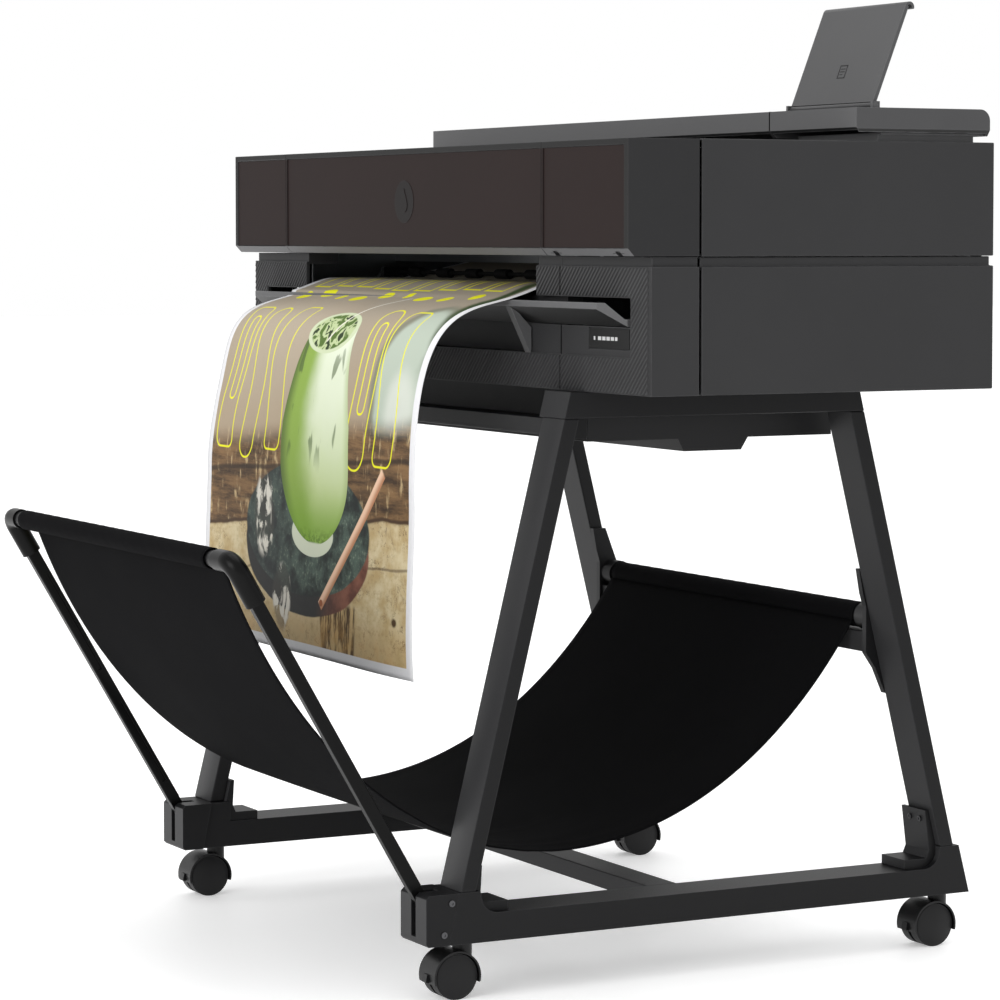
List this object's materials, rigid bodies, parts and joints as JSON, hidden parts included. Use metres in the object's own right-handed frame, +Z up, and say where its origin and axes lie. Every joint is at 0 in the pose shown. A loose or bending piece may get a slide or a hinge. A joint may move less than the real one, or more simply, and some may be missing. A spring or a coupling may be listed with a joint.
{
  "type": "large format plotter",
  "caption": "Free-standing large format plotter on a wheeled stand, with hinged covers, an upright sheet tray, an open cloth catch basket and a print hanging from its slot.",
  "frame": {"origin": "on the floor, under the middle of the footprint", "axes": "+Z up, +X to the machine's right as seen by its user, -Y towards the user"},
  "size_m": [1.05, 0.9503, 1.1002],
  "materials": {
    "stand_paint": "satin black powder coat",
    "screw_steel": "zinc plated",
    "black_tube": "satin black",
    "sling_cloth": "matt black woven cloth",
    "gloss_black": "semi-gloss black moulding",
    "caster_plastic": "fine matt black",
    "wheel_plastic": "matt black",
    "body_plastic": "fine grained charcoal",
    "pan_metal": "matt dark grey",
    "guide_plastic": "fine grained grey",
    "label_film": "printed film",
    "badge_gloss": "gloss near-black",
    "button_grey": "satin grey",
    "plate_steel": "zinc plated sheet",
    "pulley_metal": "turned",
    "works_plastic": "moulded black",
    "belt_rubber": "moulded black",
    "motor_paint": "satin",
    "roller_grit": "grit coated",
    "paper": "coated white",
    "ink_plastic": "moulded",
    "board": "solder mask"
  },
  "bodies": {
    "machine": {"foot_left": "stand_paint", "foot_right": "stand_paint", "front_legs": "stand_paint", "rear_legs": "stand_paint", "top_beams": "stand_paint", "leg_brackets": "stand_paint", "lower_crossbar": "stand_paint", "upper_crossbar": "stand_paint", "rear_crossbar": "stand_paint", "basket_knuckles": "stand_paint", "stand_screws": "screw_steel", "rear_bar_brackets": "stand_paint", "sling_rear_bar": "black_tube", "sling": "sling_cloth", "base_pan": "pan_metal", "lower_side_covers": "body_plastic", "upper_side_covers": "body_plastic", "rear_cover": "body_plastic", "front_blocks": "body_plastic", "output_chute": "body_plastic", "output_guide": "guide_plastic", "label_plate": "label_film", "left_end_cap": "body_plastic", "top_deck": "body_plastic", "feeder_housing": "body_plastic", "control_panel": "badge_gloss", "chassis_plates": "plate_steel", "carriage_rail": "plate_steel", "drive_belt": "belt_rubber", "drive_motors": "motor_paint", "platen": "works_plastic", "printed_sheet": "paper", "ink_cartridges": "ink_plastic", "power_supply": "plate_steel", "main_board": "board", "power_inlet": "works_plastic"},
    "front_door": {"front_door": "body_plastic", "emblem": "badge_gloss"},
    "ink_door": {"ink_door": "body_plastic"},
    "roll_cover": {"roll_cover": "body_plastic"},
    "sheet_tray": {"sheet_tray": "guide_plastic"},
    "basket": {"basket_bar": "black_tube", "basket_elbows": "gloss_black", "basket_arms": "gloss_black"},
    "carriage": {"carriage": "works_plastic"},
    "drive_pulley": {"drive_pulley": "pulley_metal"},
    "idler_pulley": {"idler_pulley": "pulley_metal"},
    "roll": {"roll_spindle": "works_plastic", "media_roll": "paper"},
    "feed_roller": {"feed_roller": "roller_grit"},
    "pinch_rollers": {"pinch_rollers": "belt_rubber"},
    "power_button": {"power_button": "button_grey"},
    "swivel_front_left": {"caster_front_left": "caster_plastic"},
    "wheels_front_left": {"wheels_front_left": "wheel_plastic"},
    "swivel_front_right": {"caster_front_right": "caster_plastic"},
    "wheels_front_right": {"wheels_front_right": "wheel_plastic"},
    "swivel_rear_left": {"caster_rear_left": "caster_plastic"},
    "wheels_rear_left": {"wheels_rear_left": "wheel_plastic"},
    "swivel_rear_right": {"caster_rear_right": "caster_plastic"},
    "wheels_rear_right": {"wheels_rear_right": "wheel_plastic"}
  },
  "joints": [
    {"name": "front_door_hinge", "type": "hinge", "parent": "machine", "child": "front_door", "pos_m": [0, -0.07391, 0.936], "axis": [-1, 0, 0], "range_deg": [0, 75]},
    {"name": "ink_door_hinge", "type": "hinge", "parent": "machine", "child": "ink_door", "pos_m": [0.426, -0.07391, 0.826], "axis": [1, 0, 0], "range_deg": [0, 85]},
    {"name": "roll_cover_hinge", "type": "hinge", "parent": "machine", "child": "roll_cover", "pos_m": [-0.09, 0.37709, 0.955], "axis": [-1, 0, 0], "range_deg": [0, 75]},
    {"name": "sheet_tray_hinge", "type": "hinge", "parent": "machine", "child": "sheet_tray", "pos_m": [0.434, 0.23309, 0.985], "axis": [-1, 0, 0], "range_deg": [0, 65]},
    {"name": "basket_hinge", "type": "hinge", "parent": "machine", "child": "basket", "pos_m": [0, -0.23351, 0.098], "axis": [-1, 0, 0], "range_deg": [0, 30], "deforming": ["sling"]},
    {"name": "carriage_slide", "type": "slide", "parent": "machine", "child": "carriage", "axis": [1, 0, 0], "range_m": [-0.78, 0]},
    {"name": "drive_pulley_spin", "type": "hinge", "parent": "machine", "child": "drive_pulley", "pos_m": [0.47, 0.12909, 0.878], "axis": [0, 1, 0], "continuous": true},
    {"name": "idler_pulley_spin", "type": "hinge", "parent": "machine", "child": "idler_pulley", "pos_m": [-0.47, 0.12909, 0.878], "axis": [0, 1, 0], "continuous": true},
    {"name": "roll_spin", "type": "hinge", "parent": "machine", "child": "roll", "pos_m": [-0.048, 0.30209, 0.88], "axis": [1, 0, 0], "continuous": true},
    {"name": "feed_roller_spin", "type": "hinge", "parent": "machine", "child": "feed_roller", "pos_m": [-0.048, 0.08209, 0.771], "axis": [1, 0, 0], "continuous": true},
    {"name": "pinch_rollers_spin", "type": "hinge", "parent": "machine", "child": "pinch_rollers", "pos_m": [-0.048, 0.08209, 0.7929], "axis": [1, 0, 0], "continuous": true},
    {"name": "power_button_press", "type": "slide", "parent": "machine", "child": "power_button", "axis": [0, 0, 1], "range_m": [-0.001, 0], "stiffness_N_per_m": 400, "springref_m": 0.0002},
    {"name": "swivel_front_left", "type": "hinge", "parent": "machine", "child": "swivel_front_left", "pos_m": [-0.347, -0.19091, 0.063], "axis": [0, 0, 1], "continuous": true},
    {"name": "roll_front_left", "type": "hinge", "parent": "swivel_front_left", "child": "wheels_front_left", "pos_m": [-0.347, -0.20591, 0.0255], "axis": [1, 0, 0], "continuous": true},
    {"name": "swivel_front_right", "type": "hinge", "parent": "machine", "child": "swivel_front_right", "pos_m": [0.347, -0.19091, 0.063], "axis": [0, 0, 1], "continuous": true},
    {"name": "roll_front_right", "type": "hinge", "parent": "swivel_front_right", "child": "wheels_front_right", "pos_m": [0.347, -0.20591, 0.0255], "axis": [1, 0, 0], "continuous": true},
    {"name": "swivel_rear_left", "type": "hinge", "parent": "machine", "child": "swivel_rear_left", "pos_m": [-0.347, 0.44309, 0.063], "axis": [0, 0, 1], "continuous": true},
    {"name": "roll_rear_left", "type": "hinge", "parent": "swivel_rear_left", "child": "wheels_rear_left", "pos_m": [-0.347, 0.42809, 0.0255], "axis": [1, 0, 0], "continuous": true},
    {"name": "swivel_rear_right", "type": "hinge", "parent": "machine", "child": "swivel_rear_right", "pos_m": [0.347, 0.44309, 0.063], "axis": [0, 0, 1], "continuous": true},
    {"name": "roll_rear_right", "type": "hinge", "parent": "swivel_rear_right", "child": "wheels_rear_right", "pos_m": [0.347, 0.42809, 0.0255], "axis": [1, 0, 0], "continuous": true}
  ],
  "couplings": [
    {"joint": "drive_pulley_spin", "follows": "carriage_slide", "rad_per_m": -90.909},
    {"joint": "idler_pulley_spin", "follows": "carriage_slide", "rad_per_m": -90.909},
    {"joint": "feed_roller_spin", "follows": "roll_spin", "ratio": -3},
    {"joint": "pinch_rollers_spin", "follows": "roll_spin", "ratio": 7.5}
  ]
}
